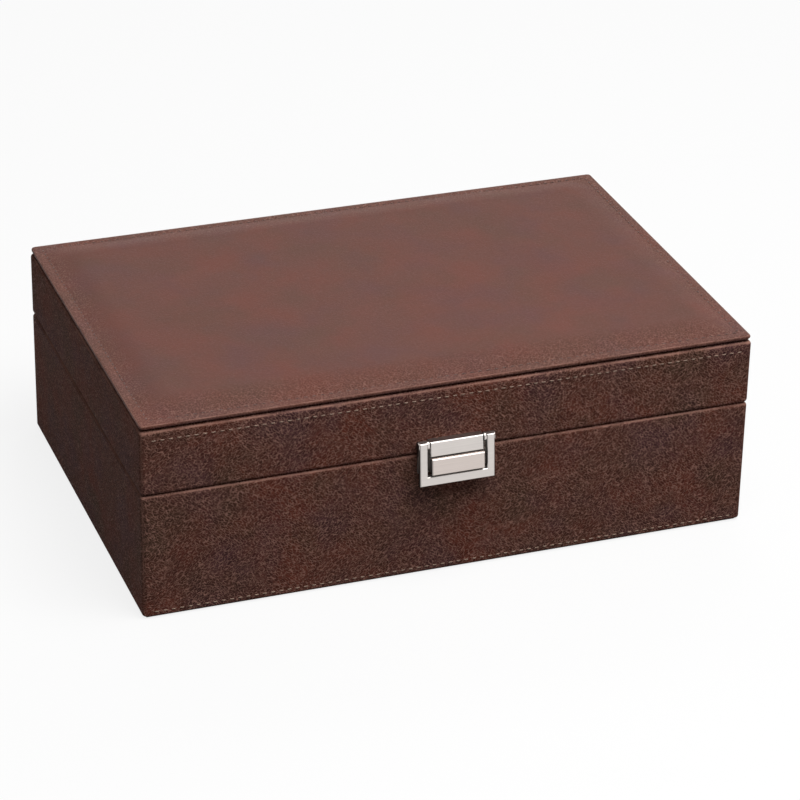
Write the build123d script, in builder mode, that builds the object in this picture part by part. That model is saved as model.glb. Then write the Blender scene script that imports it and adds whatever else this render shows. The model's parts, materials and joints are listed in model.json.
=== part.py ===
"""A leather watch box: a case of boards under leather, a padded lid on two hinges, a bail clasp,
and a velvet partition with one watch pillow in each compartment.

Millimetres. X runs along the front, the front faces -Y, Z is up, and the origin is the middle of
the underside."""

import os
from math import cos, radians, sin, tan

from build123d import *

os.makedirs("parts", exist_ok=True)

# Outside of the box
box_width = 300.0
box_depth = 199.5
seam_height = 64.2
lid_height = 32.7
seam_gap = 0.3
corner_radius = 2.2
rim_roll = 1.8
foot_roll = 1.2
lid_top_roll = 1.9

# Boards, leather and linings
leather_thickness = 1.0
leather_turn_in = 14.0
board_thickness = 7.0
bottom_board_thickness = 4.0
top_board_thickness = 4.0
felt_thickness = 1.0
felt_inset = 2.0
lining_thickness = 1.5
lining_step_down = 0.5
lining_clearance = 0.2

# Padded panel on the lid
panel_inset = 0.4
panel_corner_radius = 2.0
panel_board_inset = 3.4
panel_board_thickness = 0.9
panel_edge_thickness = 2.2
panel_edge_roll = 1.05
panel_stitch_inset = 5.0
panel_crown = 3.0
panel_shoulder = 16.0
crown_turns = (0, 30, 60, 90)

# Padded ceiling inside the lid
ceiling_edge_thickness = 1.6
ceiling_edge_roll = 0.75
ceiling_corner_radius = 1.4
ceiling_border = 3.0
ceiling_crown = 2.4
ceiling_shoulder = 14.0

# Partition and pillows
columns = 6
rows = 2
divider_thickness = 3.0
divider_height = 44.0
divider_top_roll = 1.2
divider_slot_clearance = 0.15
pillow_height = 50.0
pillow_side_clearance = 1.8
pillow_end_clearance = 3.4
pillow_floor_clearance = 0.3
pillow_corner_radius = 17.0

# Hinges at the back
hinge_inset = 62.0
leaf_length = 34.0
leaf_depth = 7.6
leaf_thickness = 1.2
leaf_fit = 0.15
knuckle_radius = 2.4
knuckle_clearance = 0.4
knuckle_gap = 0.2
centre_knuckle_length = 11.8
hinge_pin_radius = 1.0
hinge_screw_spacing = 22.0
hinge_screw_inset = 4.4
hinge_screw_head_radius = 1.9
hinge_screw_radius = 1.0
hinge_screw_length = 8.0

# Clasp. Rises are from the seam, and how proud a face is counts from the leather.
plate_thickness = 1.0
plate_width = 36.0
plate_corner_radius = 0.8
lid_plate_shoulder_rise = 3.1
base_plate_drop = 9.6
block_width = 26.2
block_rise = 7.4
block_top_proud = 4.0
block_bottom_proud = 5.1
keeper_width = 26.0
keeper_drop = 8.2
keeper_top_proud = 6.9
keeper_bottom_proud = 7.75
keeper_bevel = 0.4
bail_width = 36.8
bail_rise = 7.6
bail_drop = 13.9
bail_bar_height = 4.5
bail_leg_width = 3.8
bail_thickness = 2.4
bail_top_proud = 4.8
bail_lean = 5.0
bail_bevel = 0.35
bail_knuckle_radius = 2.1
bail_knuckle_length = 5.2
bail_knuckle_gap = 0.4
clasp_pin_rise = 5.6
clasp_pin_proud = 2.4
clasp_pin_radius = 0.75
clasp_screw_spacing = 16.0
clasp_screw_head_radius = 1.9
clasp_screw_radius = 1.1
clasp_screw_bite = 2.0
lid_screw_rise = 3.2
keeper_screw_drop = 4.2

# Fits
running_fit = 0.05
hole_clearance = 0.05
cut_margin = 1.0

# Places that follow from the sizes
back_y = box_depth / 2
wall_thickness = leather_thickness + board_thickness
base_rim = seam_height - seam_gap / 2
lid_rim = seam_height + seam_gap / 2
lid_top = seam_height + lid_height
inner_width = box_width - 2 * wall_thickness
inner_depth = box_depth - 2 * wall_thickness
case_floor = felt_thickness + leather_thickness
floor_top = case_floor + bottom_board_thickness
tray_floor = floor_top + lining_thickness
lid_board_top = lid_top - leather_thickness
lid_ceiling = lid_board_top - top_board_thickness
tray_width = inner_width - 2 * lining_thickness
tray_depth = inner_depth - 2 * lining_thickness
panel_bottom = lid_top + panel_board_thickness
compartment_width = (tray_width - (columns - 1) * divider_thickness) / columns
compartment_depth = (tray_depth - (rows - 1) * divider_thickness) / rows
hinge_y = back_y + knuckle_clearance + knuckle_radius
hinge_x = box_width / 2 - hinge_inset


def save(piece, name):
    """Labels a finished piece and writes it under its name."""
    piece.part.label = name
    export_step(piece.part, f"parts/{name}.step")


def front_plane(proud=0.0):
    """A plane parallel to the front, facing outwards, with X to the right and Z up."""
    return Plane.XZ.offset(back_y + proud)


def clasp_point(proud, rise):
    """A point of a clasp profile in the YZ plane."""
    return (-back_y - proud, seam_height + rise)


def rim_plane(x, facing):
    """The rim at the back face, facing up on the base (1) and down on the lid (-1)."""
    rim = seam_height - facing * seam_gap / 2
    return Plane(origin=(x, back_y, rim), x_dir=(facing, 0, 0), z_dir=(0, 0, facing))


def hinge_places():
    """The middles of the two hinges along X, with the side that each is on."""
    return {"left": -hinge_x, "right": hinge_x}


def cut_leaf_seats(facing):
    """Cuts the seats of the hinge leaves, and the holes of their screws, into a rim at the back."""
    for x in hinge_places().values():
        with BuildSketch(rim_plane(x, facing)) as seat:
            with Locations((0, (cut_margin - leaf_depth - leaf_fit) / 2)):
                Rectangle(leaf_length + 2 * leaf_fit, leaf_depth + leaf_fit + cut_margin)
        extrude(seat.sketch, amount=-leaf_thickness, mode=Mode.SUBTRACT)
        with BuildSketch(rim_plane(x, facing)) as screw_holes:
            with Locations((0, -hinge_screw_inset)):
                with GridLocations(hinge_screw_spacing, 0, 2, 1):
                    Circle(hinge_screw_radius + hole_clearance)
        extrude(screw_holes.sketch, amount=-hinge_screw_length - cut_margin, mode=Mode.SUBTRACT)


def cut_clasp_screw_holes(inner_proud, outer_proud, rise):
    """Drills the two holes of the clasp screws from one depth to another."""
    with BuildSketch(front_plane(inner_proud)) as screw_holes:
        with Locations((0, seam_height + rise)):
            with GridLocations(clasp_screw_spacing, 0, 2, 1):
                Circle(clasp_screw_radius + hole_clearance)
    extrude(screw_holes.sketch, amount=outer_proud - inner_proud, mode=Mode.SUBTRACT)


def leather_cover(name, bottom, top, rolls, openings, facing, screw_rise):
    """Leather glued round four boards and turned in at both ends.

    Rolls and openings go from the bottom to the top, each opening as its distance from the outside."""
    opening_bottom, opening_top = openings
    with BuildPart() as cover:
        with BuildSketch(Plane.XY.offset(bottom)):
            RectangleRounded(box_width, box_depth, corner_radius)
        extrude(amount=top - bottom)
        fillet(cover.edges().group_by(Axis.Z)[0], rolls[0])
        fillet(cover.edges().group_by(Axis.Z)[-1], rolls[1])
        with BuildSketch(Plane.XY.offset(bottom + leather_thickness)):
            Rectangle(box_width - 2 * leather_thickness, box_depth - 2 * leather_thickness)
        extrude(amount=top - bottom - 2 * leather_thickness, mode=Mode.SUBTRACT)
        with BuildSketch(Plane.XY.offset(bottom)):
            Rectangle(box_width - 2 * opening_bottom, box_depth - 2 * opening_bottom)
        extrude(amount=leather_thickness, mode=Mode.SUBTRACT)
        with BuildSketch(Plane.XY.offset(top - leather_thickness)):
            Rectangle(box_width - 2 * opening_top, box_depth - 2 * opening_top)
        extrude(amount=leather_thickness, mode=Mode.SUBTRACT)
        cut_leaf_seats(facing)
        cut_clasp_screw_holes(-leather_thickness, 0, screw_rise)
    save(cover, name)


def flat_piece(name, width, depth, thickness, x, y, bottom):
    """A flat board or lining, placed by its middle and its bottom."""
    with BuildPart() as piece:
        with BuildSketch(Plane.XY.offset(bottom)):
            with Locations((x, y)):
                Rectangle(width, depth)
        extrude(amount=thickness)
    save(piece, name)


def case_boards(prefix, bottom, top, facing, screw_rise):
    """Front and back boards the full width of the case, with the side boards between them."""
    board_y = back_y - leather_thickness - board_thickness / 2
    board_x = box_width / 2 - leather_thickness - board_thickness / 2
    long_side = box_width - 2 * leather_thickness

    with BuildPart() as front_board:
        with BuildSketch(Plane.XY.offset(bottom)):
            with Locations((0, -board_y)):
                Rectangle(long_side, board_thickness)
        extrude(amount=top - bottom)
        screw_middle = (0, wall_thickness - back_y, seam_height + screw_rise)
        with Locations(Plane(origin=screw_middle, x_dir=(1, 0, 0), z_dir=(0, 1, 0))):
            with GridLocations(clasp_screw_spacing, 0, 2, 1):
                CounterSinkHole(
                    clasp_screw_radius + hole_clearance,
                    clasp_screw_head_radius + hole_clearance,
                    counter_sink_angle=90,
                )
    save(front_board, f"{prefix}_front_board")

    with BuildPart() as back_board:
        with BuildSketch(Plane.XY.offset(bottom)):
            with Locations((0, board_y)):
                Rectangle(long_side, board_thickness)
        extrude(amount=top - bottom)
        cut_leaf_seats(facing)
    save(back_board, f"{prefix}_back_board")

    for side, x in {"left": -board_x, "right": board_x}.items():
        flat_piece(f"{prefix}_{side}_board", board_thickness, inner_depth, top - bottom, x, 0, bottom)


def wall_linings(prefix, bottom, top):
    """Four velvet-covered lining boards round the inside of the walls."""
    lining_y = (inner_depth - lining_thickness) / 2
    lining_x = (inner_width - lining_thickness) / 2
    side_depth = tray_depth - 2 * lining_clearance
    height = top - bottom
    for side, y in {"front": -lining_y, "back": lining_y}.items():
        flat_piece(f"{prefix}_{side}_lining", inner_width, lining_thickness, height, 0, y, bottom)
    for side, x in {"left": -lining_x, "right": lining_x}.items():
        flat_piece(f"{prefix}_{side}_lining", lining_thickness, side_depth, height, x, 0, bottom)


def crowned_pad(name, width, depth, corner, seat, facing, edge, roll, border, crown, shoulder):
    """A padded panel: a rolled edge, a flat stitched border, and a crown that rises from the border."""
    with BuildPart() as pad:
        with BuildSketch(Plane(origin=(0, 0, seat), z_dir=(0, 0, facing))):
            RectangleRounded(width, depth, corner)
        extrude(amount=edge)
        fillet(pad.edges().group_by(Axis.Z)[0], roll)
        fillet(pad.edges().group_by(Axis.Z)[-1], roll)
        for turn in crown_turns:
            inset = border + shoulder * (1 - cos(radians(turn)))
            height = seat + facing * (edge + crown * sin(radians(turn)))
            with BuildSketch(Plane.XY.offset(height)):
                RectangleRounded(width - 2 * inset, depth - 2 * inset, corner + inset / 2)
        loft(ruled=True)
    save(pad, name)


def hinge_leaf(name, x, facing, knuckles):
    """A hinge leaf let into a rim, with its knuckles round the pin behind the box."""
    rim = rim_plane(x, facing)
    with BuildPart() as leaf:
        with BuildSketch(rim):
            with Locations((0, -leaf_depth / 2)):
                Rectangle(leaf_length, leaf_depth)
            for place, length in knuckles:
                with Locations((place, (hinge_y - back_y) / 2)):
                    Rectangle(length, hinge_y - back_y)
        extrude(amount=-leaf_thickness)
        for place, length in knuckles:
            with BuildSketch(Plane.YZ.offset(x + place - length / 2)):
                with Locations((hinge_y, seam_height)):
                    Circle(knuckle_radius)
            extrude(amount=length)
        with BuildSketch(Plane.YZ.offset(x - leaf_length / 2)):
            with Locations((hinge_y, seam_height)):
                Circle(hinge_pin_radius + running_fit)
        extrude(amount=leaf_length, mode=Mode.SUBTRACT)
        with Locations(rim):
            with Locations((0, -hinge_screw_inset)):
                with GridLocations(hinge_screw_spacing, 0, 2, 1):
                    CounterSinkHole(
                        hinge_screw_radius + hole_clearance,
                        hinge_screw_head_radius + hole_clearance,
                        counter_sink_angle=90,
                    )
    save(leaf, name)


def add_screw(origin, outward, head_radius, shank_radius, length):
    """A countersunk screw, its head flush with the plane that it points out of."""
    outward = Vector(*outward)
    profile = Plane(origin=origin, x_dir=(1, 0, 0), z_dir=Vector(1, 0, 0).cross(outward))
    with BuildSketch(profile) as half_screw:
        with BuildLine():
            Polyline(
                (0, 0),
                (head_radius, 0),
                (shank_radius, shank_radius - head_radius),
                (shank_radius, -length),
                (0, -length),
                close=True,
            )
        make_face()
    revolve(half_screw.sketch, axis=Axis(origin, outward))


# Case of the base
flat_piece("underside_felt", box_width - 2 * felt_inset, box_depth - 2 * felt_inset, felt_thickness, 0, 0, 0)
leather_cover(
    "base_leather", felt_thickness, base_rim, (foot_roll, rim_roll), (leather_turn_in, wall_thickness), 1,
    -keeper_screw_drop,
)
case_boards("base", case_floor, base_rim - leather_thickness, 1, -keeper_screw_drop)
flat_piece("base_bottom_board", inner_width, inner_depth, bottom_board_thickness, 0, 0, case_floor)

# Case of the lid
leather_cover(
    "lid_leather", lid_rim, lid_top, (rim_roll, lid_top_roll), (wall_thickness, leather_turn_in), -1,
    lid_screw_rise,
)
case_boards("lid", lid_rim + leather_thickness, lid_board_top, -1, lid_screw_rise)
flat_piece("lid_top_board", inner_width, inner_depth, top_board_thickness, 0, 0, lid_ceiling)

# Padded panel on the lid
flat_piece(
    "lid_panel_board", box_width - 2 * panel_board_inset, box_depth - 2 * panel_board_inset,
    panel_board_thickness, 0, 0, lid_top,
)
crowned_pad(
    "lid_top_pad", box_width - 2 * panel_inset, box_depth - 2 * panel_inset, panel_corner_radius,
    panel_bottom, 1, panel_edge_thickness, panel_edge_roll, panel_stitch_inset, panel_crown, panel_shoulder,
)

# Linings
flat_piece("base_floor_lining", inner_width, inner_depth, lining_thickness, 0, 0, floor_top)
wall_linings("base", tray_floor, base_rim - lining_step_down)
wall_linings("lid", lid_rim + lining_step_down, lid_ceiling)
crowned_pad(
    "lid_ceiling_pad", tray_width - 2 * lining_clearance, tray_depth - 2 * lining_clearance,
    ceiling_corner_radius, lid_ceiling, -1, ceiling_edge_thickness, ceiling_edge_roll, ceiling_border,
    ceiling_crown, ceiling_shoulder,
)

# Long divider, with a slot from its top for each cross divider
column_pitch = compartment_width + divider_thickness
slot_width = divider_thickness + 2 * divider_slot_clearance
with BuildPart() as long_divider:
    with BuildSketch(Plane.XY.offset(tray_floor)):
        Rectangle(tray_width - 2 * lining_clearance, divider_thickness)
    extrude(amount=divider_height)
    fillet(long_divider.faces().sort_by(Axis.Z)[-1].edges().filter_by(Axis.X), divider_top_roll)
    with BuildSketch(Plane.XY.offset(tray_floor + divider_height / 2)):
        with GridLocations(column_pitch, 0, columns - 1, 1):
            Rectangle(slot_width, slot_width)
    extrude(amount=divider_height / 2, mode=Mode.SUBTRACT)
save(long_divider, "long_divider")

# Cross dividers, each with a slot from its foot that drops over the long divider
for number in range(1, columns):
    with BuildPart() as cross_divider:
        with BuildSketch(Plane.XY.offset(tray_floor)):
            with Locations(((number - columns / 2) * column_pitch, 0)):
                Rectangle(divider_thickness, tray_depth - 2 * lining_clearance)
        extrude(amount=divider_height)
        fillet(cross_divider.faces().sort_by(Axis.Z)[-1].edges().filter_by(Axis.Y), divider_top_roll)
        with BuildSketch(Plane.XY.offset(tray_floor)):
            with Locations(((number - columns / 2) * column_pitch, 0)):
                Rectangle(slot_width, slot_width)
        extrude(amount=divider_height / 2 + divider_slot_clearance, mode=Mode.SUBTRACT)
    save(cross_divider, f"cross_divider_{number}")

# Watch pillows, with the rounded outline that a strap closes round
row_pitch = compartment_depth + divider_thickness
pillow_width = compartment_width - 2 * pillow_side_clearance
pillow_length = compartment_depth - 2 * pillow_end_clearance
pillow_middle = tray_floor + pillow_floor_clearance + pillow_height / 2
for row in range(rows):
    for column in range(columns):
        pillow_x = (column - (columns - 1) / 2) * column_pitch
        pillow_y = (row - (rows - 1) / 2) * row_pitch
        with BuildPart() as pillow:
            with BuildSketch(Plane.YZ.offset(pillow_x)):
                with Locations((pillow_y, pillow_middle)):
                    RectangleRounded(pillow_length, pillow_height, pillow_corner_radius)
            extrude(amount=pillow_width / 2, both=True)
        save(pillow, f"watch_pillow_{row * columns + column + 1:02d}")

# Hinges
outer_knuckle_length = (leaf_length - centre_knuckle_length) / 2 - knuckle_gap
outer_knuckle_place = (leaf_length - outer_knuckle_length) / 2
base_knuckles = [(-outer_knuckle_place, outer_knuckle_length), (outer_knuckle_place, outer_knuckle_length)]
for side, x in hinge_places().items():
    hinge_leaf(f"hinge_base_leaf_{side}", x, 1, base_knuckles)
    hinge_leaf(f"hinge_lid_leaf_{side}", x, -1, [(0, centre_knuckle_length)])

with BuildPart() as hinge_pins:
    for x in hinge_places().values():
        with BuildSketch(Plane.YZ.offset(x - leaf_length / 2)):
            with Locations((hinge_y, seam_height)):
                Circle(hinge_pin_radius)
        extrude(amount=leaf_length)
save(hinge_pins, "hinge_pins")

for name, facing in {"hinge_base_screws": 1, "hinge_lid_screws": -1}.items():
    with BuildPart() as hinge_screws:
        for x in hinge_places().values():
            for along in (-hinge_screw_spacing / 2, hinge_screw_spacing / 2):
                rim = seam_height - facing * seam_gap / 2
                place = (x + along, back_y - hinge_screw_inset, rim)
                facing_out = (0, 0, facing)
                add_screw(place, facing_out, hinge_screw_head_radius, hinge_screw_radius, hinge_screw_length)
    save(hinge_screws, name)

# Plates of the clasp, the lid's cut away where the knuckles of the bail turn
with BuildPart() as clasp_lid_plate:
    with BuildSketch(front_plane()):
        with Locations((0, lid_rim + (lid_plate_shoulder_rise - seam_gap / 2) / 2)):
            Rectangle(plate_width, lid_plate_shoulder_rise - seam_gap / 2)
        with Locations((0, lid_rim + (block_rise - seam_gap / 2) / 2)):
            Rectangle(block_width, block_rise - seam_gap / 2)
    extrude(amount=plate_thickness)
    cut_clasp_screw_holes(0, plate_thickness, lid_screw_rise)
save(clasp_lid_plate, "clasp_lid_plate")

with BuildPart() as clasp_base_plate:
    with BuildSketch(front_plane()):
        with Locations((0, base_rim - (base_plate_drop - seam_gap / 2) / 2)):
            RectangleRounded(plate_width, base_plate_drop - seam_gap / 2, plate_corner_radius)
    extrude(amount=plate_thickness)
    cut_clasp_screw_holes(0, plate_thickness, -keeper_screw_drop)
save(clasp_base_plate, "clasp_base_plate")

# Block on the lid, which carries the pin of the bail
with BuildPart() as clasp_lid_block:
    with BuildSketch(Plane.YZ):
        with BuildLine():
            Polyline(
                clasp_point(plate_thickness, seam_gap / 2),
                clasp_point(block_bottom_proud, seam_gap / 2),
                clasp_point(block_top_proud, block_rise),
                clasp_point(plate_thickness, block_rise),
                close=True,
            )
        make_face()
    extrude(amount=block_width / 2, both=True)
    front_face = clasp_lid_block.faces().sort_by(Axis.Y)[0]
    chamfer(front_face.edges(), bail_bevel)
    with BuildSketch(Plane.YZ.offset(-block_width / 2)):
        with Locations(clasp_point(clasp_pin_proud, clasp_pin_rise)):
            Circle(clasp_pin_radius + running_fit)
    extrude(amount=block_width, mode=Mode.SUBTRACT)
    cut_clasp_screw_holes(plate_thickness, plate_thickness + clasp_screw_bite, lid_screw_rise)
save(clasp_lid_block, "clasp_lid_block")

# Keeper on the base, which the bar of the bail closes under
with BuildPart() as clasp_keeper:
    with BuildSketch(Plane.YZ):
        with BuildLine():
            Polyline(
                clasp_point(plate_thickness, -seam_gap / 2),
                clasp_point(keeper_top_proud, -seam_gap / 2),
                clasp_point(keeper_bottom_proud, -keeper_drop),
                clasp_point(plate_thickness, -keeper_drop),
                close=True,
            )
        make_face()
    extrude(amount=keeper_width / 2, both=True)
    front_face = clasp_keeper.faces().sort_by(Axis.Y)[0]
    chamfer(front_face.edges(), keeper_bevel)
    cut_clasp_screw_holes(plate_thickness, plate_thickness + clasp_screw_bite, -keeper_screw_drop)
save(clasp_keeper, "clasp_keeper")

# Bail: two legs and a bar cut from one leaning plate, with a knuckle behind the top of each leg
bail_bottom_proud = bail_top_proud + (bail_rise + bail_drop) * tan(radians(bail_lean))
clasp_pin_length = block_width + 2 * (bail_knuckle_gap + bail_knuckle_length)
with BuildPart() as clasp_bail:
    with BuildSketch(Plane.YZ):
        with BuildLine():
            Polyline(
                clasp_point(bail_top_proud, bail_rise),
                clasp_point(bail_bottom_proud, -bail_drop),
                clasp_point(bail_bottom_proud - bail_thickness, -bail_drop),
                clasp_point(bail_top_proud - bail_thickness, bail_rise),
                close=True,
            )
        make_face()
    extrude(amount=bail_width / 2, both=True)
    with BuildSketch(front_plane()):
        window_bottom = seam_height - bail_drop + bail_bar_height
        window_top = seam_height + bail_rise
        with Locations((0, (window_bottom + window_top) / 2)):
            Rectangle(bail_width - 2 * bail_leg_width, window_top - window_bottom)
    extrude(amount=bail_bottom_proud, mode=Mode.SUBTRACT)
    front_face = clasp_bail.faces().sort_by(Axis.Y)[0]
    chamfer(front_face.edges(), bail_bevel)
    knuckle_starts = (
        block_width / 2 + bail_knuckle_gap,
        -block_width / 2 - bail_knuckle_gap - bail_knuckle_length,
    )
    for start in knuckle_starts:
        with BuildSketch(Plane.YZ.offset(start)):
            with Locations(clasp_point(clasp_pin_proud, clasp_pin_rise)):
                Circle(bail_knuckle_radius)
        extrude(amount=bail_knuckle_length)
    with BuildSketch(Plane.YZ):
        with Locations(clasp_point(clasp_pin_proud, clasp_pin_rise)):
            Circle(clasp_pin_radius + running_fit)
    extrude(amount=clasp_pin_length / 2, both=True, mode=Mode.SUBTRACT)
save(clasp_bail, "clasp_bail")

with BuildPart() as clasp_pin:
    with BuildSketch(Plane.YZ):
        with Locations(clasp_point(clasp_pin_proud, clasp_pin_rise)):
            Circle(clasp_pin_radius)
    extrude(amount=clasp_pin_length / 2, both=True)
save(clasp_pin, "clasp_pin")

# Screws that hold the clasp from inside, under the lining
for name, rise in {"clasp_base_screws": -keeper_screw_drop, "clasp_lid_screws": lid_screw_rise}.items():
    with BuildPart() as clasp_screws:
        screw_length = wall_thickness + plate_thickness + clasp_screw_bite
        for x in (-clasp_screw_spacing / 2, clasp_screw_spacing / 2):
            place = (x, wall_thickness - back_y, seam_height + rise)
            add_screw(place, (0, 1, 0), clasp_screw_head_radius, clasp_screw_radius, screw_length)
    save(clasp_screws, name)
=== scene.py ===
"""A leather watch box with a padded lid and a bail clasp, dressed on its packed frame.

Metres. X runs along the front, the front faces -Y, Z is up, and the origin is the middle of the
underside. The leather, the padding, the thread, the velvet and the metal are all made here."""

import json
from math import cos, exp, hypot, pi, radians, sin, sqrt

import bmesh
import bpy
from bpy.props import FloatProperty, FloatVectorProperty, IntProperty, PointerProperty
from bpy.types import NodeSocket, Operator, Panel, PropertyGroup
from mathutils import Matrix, Vector, noise


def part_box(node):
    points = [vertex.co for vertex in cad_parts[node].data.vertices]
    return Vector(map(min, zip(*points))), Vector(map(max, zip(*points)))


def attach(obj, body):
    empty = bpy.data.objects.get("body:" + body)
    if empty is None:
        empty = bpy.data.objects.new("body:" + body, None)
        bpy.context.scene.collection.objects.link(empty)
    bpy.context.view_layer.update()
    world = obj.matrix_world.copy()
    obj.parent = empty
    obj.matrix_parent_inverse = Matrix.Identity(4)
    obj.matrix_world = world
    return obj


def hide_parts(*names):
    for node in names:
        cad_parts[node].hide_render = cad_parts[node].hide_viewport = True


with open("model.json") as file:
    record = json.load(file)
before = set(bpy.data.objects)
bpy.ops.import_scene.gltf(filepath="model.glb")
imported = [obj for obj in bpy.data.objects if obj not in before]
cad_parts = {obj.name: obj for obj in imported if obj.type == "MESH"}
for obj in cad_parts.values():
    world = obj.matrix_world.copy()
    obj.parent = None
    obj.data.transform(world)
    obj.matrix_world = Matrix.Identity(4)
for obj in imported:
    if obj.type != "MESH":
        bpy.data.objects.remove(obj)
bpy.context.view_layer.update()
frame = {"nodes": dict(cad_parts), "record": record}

bl_info = {
    "name": "Watch Box",
    "version": (1, 0, 0),
    "blender": (4, 5, 0),
    "location": "View3D > Sidebar > Watch Box",
    "description": "Dresses a leather watch box: padding, stitches, velvet, brushed metal and a studio",
    "category": "Object",
}

PILLOW_COUNT = 12
SIDES = ("front", "back", "left", "right")
GREY = (0.5, 0.5, 0.5, 1.0)


def length(name, description, default):
    """A size that a user can change, shown in the scene's units."""
    return FloatProperty(name=name, description=description, default=default, unit="LENGTH", precision=5)


def angle(name, description, degrees):
    """An angle that a user can change, given in degrees."""
    return FloatProperty(name=name, description=description, default=radians(degrees), unit="ROTATION")


def colour(name, description, default):
    """A colour in linear values."""
    return FloatVectorProperty(
        name=name, description=description, default=default, subtype="COLOR", size=3, min=0.0, max=1.0
    )


def share(name, description, default, high=1.0):
    """A plain number from nothing up to a limit."""
    return FloatProperty(name=name, description=description, default=default, min=0.0, max=high)


class StudioLook(PropertyGroup):
    """Camera, lamps and floor."""

    camera_place: FloatVectorProperty(
        name="Camera", description="Where the camera stands", default=(-0.48633, -1.34415, 0.78910),
        unit="LENGTH", size=3,
    )
    camera_turn: angle("Turn", "Heading of the view from straight ahead towards the right", 20.263)
    camera_tilt: angle("Tilt", "How far the view looks down", 27.652)
    camera_roll: angle("Roll", "Lean of the camera", 1.110)
    lens: FloatProperty(name="Lens", description="Focal length in millimetres", default=147.75)
    top_lamp: share("Top lamp", "Watts of the large lamp over the box", 22.8, 500.0)
    back_lamp: share("Back lamp", "Watts of the long lamp behind, for the rolled edges", 5.0, 500.0)
    surround: share("Surround", "Strength of the light from all round", 0.12, 10.0)
    floor_colour: colour("Floor", "Colour of the floor", (0.97, 0.97, 0.97))
    floor_lift: share("Floor lift", "Share of the floor's white that doesn't take the shadow", 0.84)


class LeatherLook(PropertyGroup):
    """Colours and grain of the leather."""

    brown: colour("Brown", "Main colour", (0.130, 0.050, 0.037))
    russet: colour("Russet", "Warm patches", (0.170, 0.047, 0.031))
    umber: colour("Umber", "Dull patches", (0.094, 0.050, 0.034))
    plum: colour("Plum", "Cool patches", (0.108, 0.048, 0.050))
    # Rub lightens the veins, the wrinkles and the rolled edges: partly wear, partly painted highlight.
    rub_and_highlight: colour("Rub", "Light veins and worn edges", (0.460, 0.240, 0.185))
    pebble: length("Pebble", "Width of one cell between the veins", 0.00098)
    patch: length("Patch", "Width of the soft patches of colour", 0.028)


class PanelSizes(PropertyGroup):
    """Padded panel on the lid."""

    corner: length("Corner", "Radius of the corners in plan", 0.0020)
    edge: length("Edge", "Thickness at the edge", 0.0022)
    roll: length("Roll", "Radius of the rolled edge", 0.00105)
    seam_inset: length("Seam inset", "From the edge to the stitches", 0.0048)
    shoulder: length("Shoulder", "Over which the crown rises", 0.017)
    step: length("Step", "Spacing of the mesh", 0.0010)
    pucker: length("Pucker", "How deep the stitches pull in", 0.00034)
    sway: length("Sway", "How far the leather wanders from flat", 0.00022)


class ThreadSizes(PropertyGroup):
    """Stitches."""

    pitch: length("Pitch", "From one hole to the next", 0.0040)
    gap: length("Gap", "Between two stitches", 0.0016)
    radius: length("Radius", "Radius of the thread", 0.00028)
    sunk: length("Sunk", "How deep the ends of a stitch go in", 0.00045)
    lid_drop: length("Lid drop", "From the top of the lid to its stitches", 0.0047)
    foot_rise: length("Foot rise", "From the foot of the base to its stitches", 0.0026)
    end: length("End", "From the sides of the box to the first stitch", 0.0045)
    tan: colour("Tan", "Thread on the front", (0.44, 0.29, 0.21))
    dark: colour("Dark", "Thread on the lid's panel", (0.14, 0.070, 0.055))


class PillowSizes(PropertyGroup):
    """Watch pillows."""

    corner: length("Corner", "Radius of the outline's corners", 0.0165)
    slack: length("Slack", "How much smaller the cut cover is than the pillow", 0.0009)
    draw_in: length("Draw in", "How far the ends are smaller than the middle", 0.0022)
    swell: length("Swell", "Most that the stuffing pushes out", 0.0014)
    stations: IntProperty(name="Stations", description="Rows of the cover along the pillow", default=20)
    around: IntProperty(name="Around", description="Points round the pillow", default=72)


class VelvetLook(PropertyGroup):
    """Velvet of the lining and the pillows."""

    pillow: colour("Pillow", "Colour of the pillows", (0.62, 0.50, 0.38))
    lining: colour("Lining", "Colour of the lining", (0.52, 0.40, 0.29))
    pile: length("Pile", "Width of the nap's tufts", 0.0004)
    bevel: length("Bevel", "Radius of the wrapped edges", 0.0005)


class MetalLook(PropertyGroup):
    """Metal of the clasp and the hinges."""

    nickel: colour("Nickel", "Colour of the nickel", (0.66, 0.615, 0.585))
    champagne: colour("Champagne", "Colour of the keeper", (0.64, 0.565, 0.525))
    zinc: colour("Zinc", "Colour of the screws", (0.58, 0.58, 0.57))
    brush: length("Brush", "Width of one brush line", 0.00016)


def feed(tree, socket, value):
    """Links a socket or sets its value."""
    if isinstance(value, NodeSocket):
        tree.links.new(value, socket)
    elif socket.type == "RGBA" and len(value) == 3:
        socket.default_value = (*value, 1.0)
    else:
        socket.default_value = value


def put(tree, kind, settings=None, **values):
    """Adds a node. Settings go on the node, and values on its inputs of that name."""
    node = tree.nodes.new(kind)
    for name, value in (settings or {}).items():
        setattr(node, name, value)
    for name, value in values.items():
        feed(tree, node.inputs[name.replace("_", " ")], value)
    return node


def sums(tree, operation, *values, kind="ShaderNodeMath"):
    """One math node."""
    node = put(tree, kind, {"operation": operation})
    for socket, value in zip(node.inputs, values):
        feed(tree, socket, value)
    return node.outputs[0]


def vectors(tree, operation, *values):
    """One vector math node."""
    return sums(tree, operation, *values, kind="ShaderNodeVectorMath")


def times(tree, first, second):
    """A product."""
    return sums(tree, "MULTIPLY", first, second)


def stretch(tree, value, low, high, new_low=0.0, new_high=1.0):
    """Maps one range to another and stops at its ends."""
    node = put(
        tree, "ShaderNodeMapRange", {"clamp": True}, Value=value, From_Min=low, From_Max=high,
        To_Min=new_low, To_Max=new_high,
    )
    return node.outputs["Result"]


def between(tree, factor, first, second):
    """A value between two others."""
    node = put(tree, "ShaderNodeMix", {"data_type": "FLOAT"}, Factor=factor, A=first, B=second)
    return node.outputs["Result"]


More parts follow.
